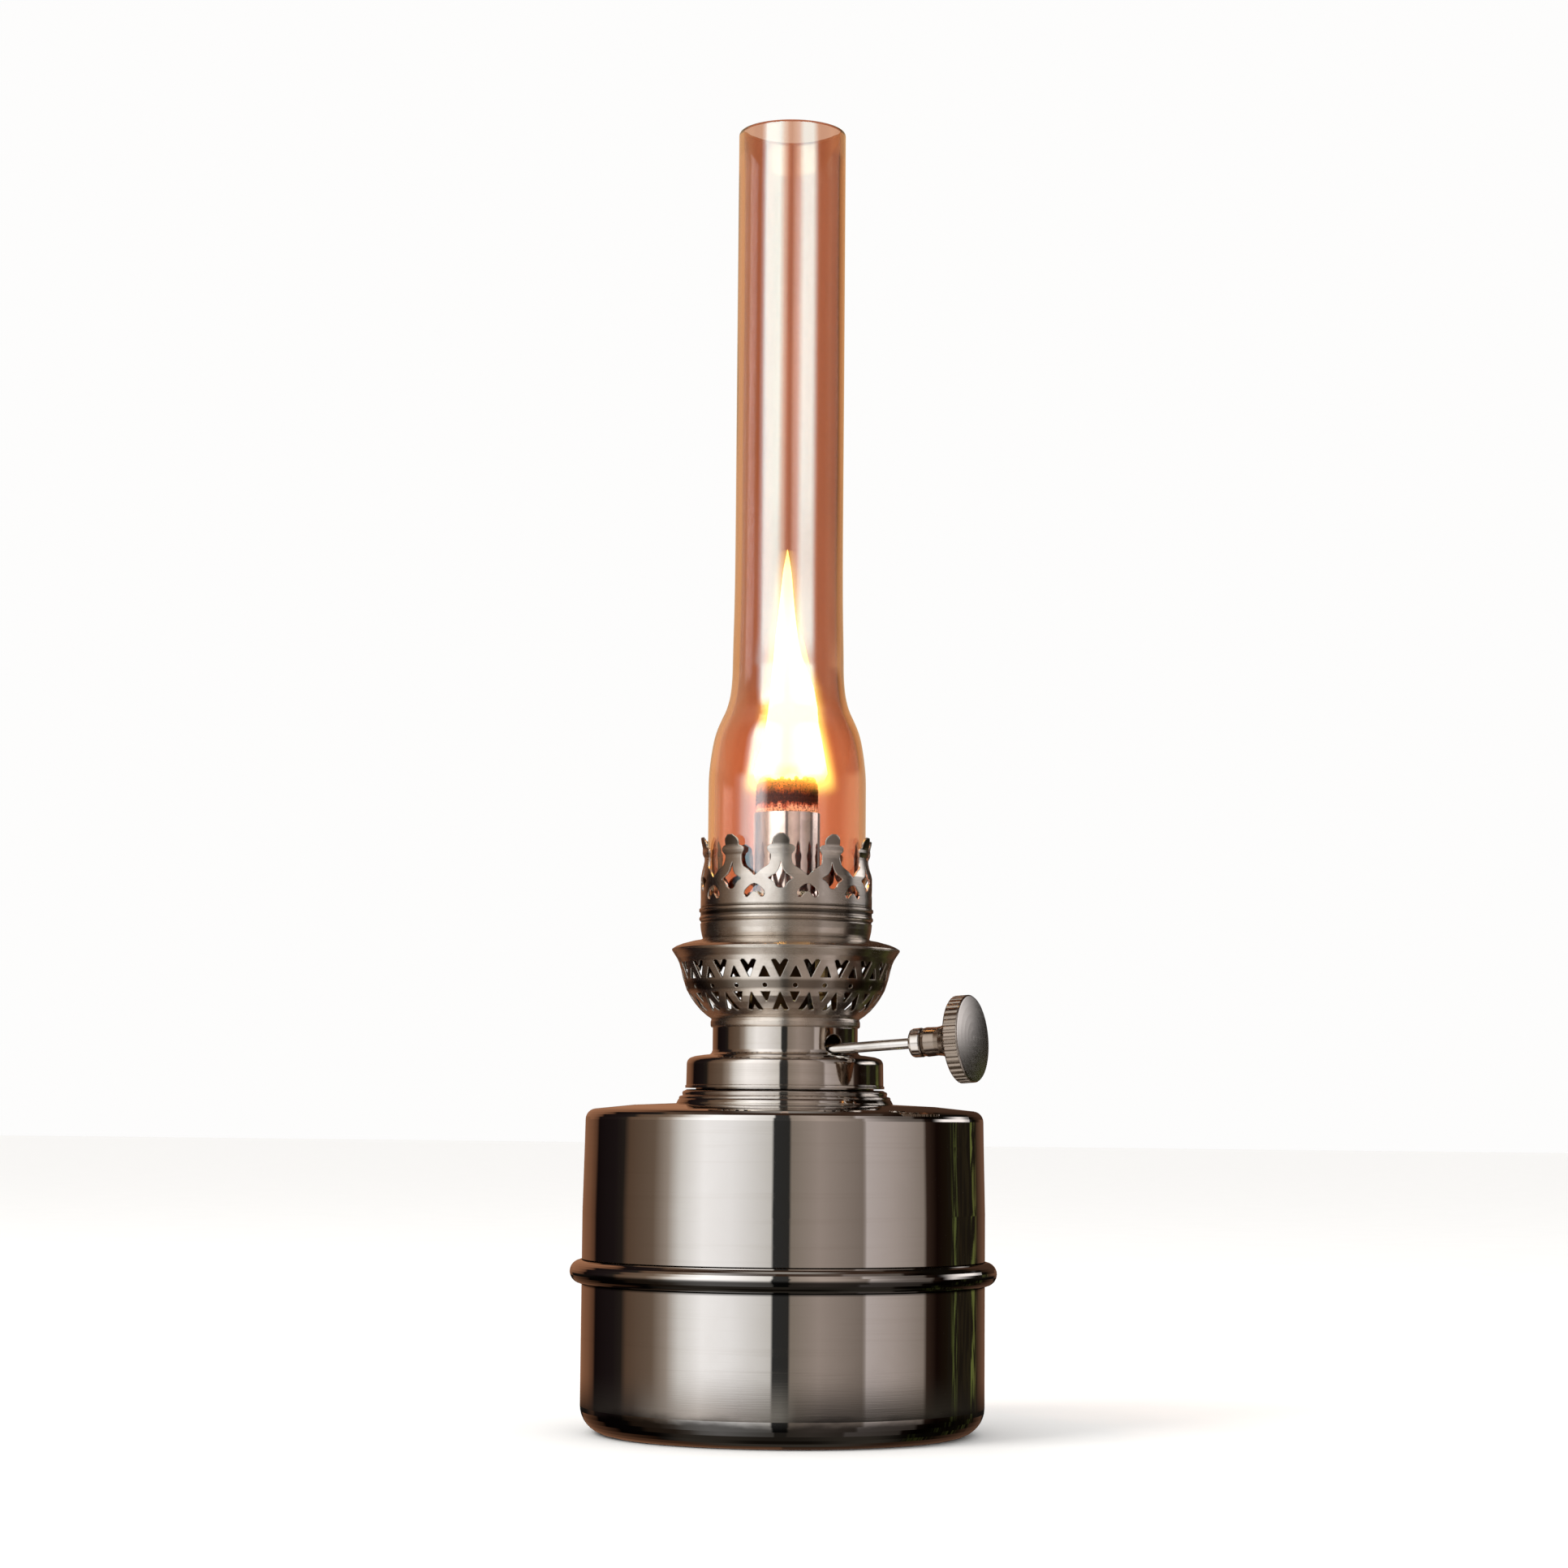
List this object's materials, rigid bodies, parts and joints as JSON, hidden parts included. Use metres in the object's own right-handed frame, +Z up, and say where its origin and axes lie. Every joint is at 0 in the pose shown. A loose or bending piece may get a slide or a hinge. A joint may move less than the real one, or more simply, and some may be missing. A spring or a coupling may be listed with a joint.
{
  "type": "oil lamp",
  "caption": "Round-wick oil lamp: drop-in metal font, screw-in burner with rack-raised wick and perforated air basket, fretwork gallery and tall shouldered glass chimney.",
  "frame": {"origin": "centre of the font's flat base", "axes": "+Z up along the lamp's axis, +X the way the wick spindle and its knob point"},
  "size_m": [0.1026, 0.1016, 0.3155],
  "materials": {
    "font_nickel": "polished nickel plate",
    "burner_nickel": "polished nickel plate, worn",
    "basket_nickel": "satin nickel plate on brass, tarnished",
    "coronet_nickel": "satin nickel plate on brass, tarnished",
    "tube_nickel": "satin nickel plate",
    "brass": "plain brass",
    "spindle_steel": "bright steel",
    "knob_nickel": "satin nickel plate",
    "washer": "cork",
    "wick": "woven cotton",
    "glass": "clear glass, tinted by its surroundings"
  },
  "bodies": {
    "font": {"font_lower_shell": "font_nickel", "font_upper_shell": "font_nickel", "support_bead": "font_nickel", "font_collar": "burner_nickel"},
    "washer": {"sealing_washer": "washer"},
    "burner": {"burner_base": "burner_nickel", "screw_sleeve": "brass", "burner_floor": "brass", "spindle_bracket": "brass", "outer_wick_tube": "tube_nickel", "draught_tube": "brass", "air_duct": "brass", "air_basket": "basket_nickel", "basket_cover": "basket_nickel", "gallery_floor": "basket_nickel", "gallery_band": "basket_nickel", "coronet": "coronet_nickel"},
    "wick": {"wick": "wick", "wick_carrier": "brass", "wick_rack": "brass"},
    "spindle": {"spindle": "spindle_steel", "pinion": "brass", "knob_ferrule": "burner_nickel", "knob": "knob_nickel"},
    "chimney": {"chimney": "glass"}
  },
  "joints": [
    {"name": "burner_lift", "type": "slide", "parent": "font", "child": "washer", "axis": [0, 0, 1], "range_m": [0, 0.00375]},
    {"name": "burner_screw", "type": "hinge", "parent": "washer", "child": "burner", "pos_m": [0, 0, 0.0875], "axis": [0, 0, 1], "range_deg": [0, 540]},
    {"name": "knob_turn", "type": "hinge", "parent": "burner", "child": "spindle", "pos_m": [0.0103, -0.007, 0.0903], "axis": [0.9976, 0, 0.0698], "range_deg": [-250, 35.7]},
    {"name": "wick_slide", "type": "slide", "parent": "burner", "child": "wick", "axis": [0, 0, 1], "range_m": [-0.014, 0.002]},
    {"name": "chimney_lift", "type": "slide", "parent": "burner", "child": "chimney", "axis": [0, 0, 1], "range_m": [0, 0.08]}
  ],
  "couplings": [
    {"joint": "burner_lift", "follows": "burner_screw", "m_per_rad": 0.00039789},
    {"joint": "wick_slide", "follows": "knob_turn", "m_per_rad": 0.0032078}
  ]
}
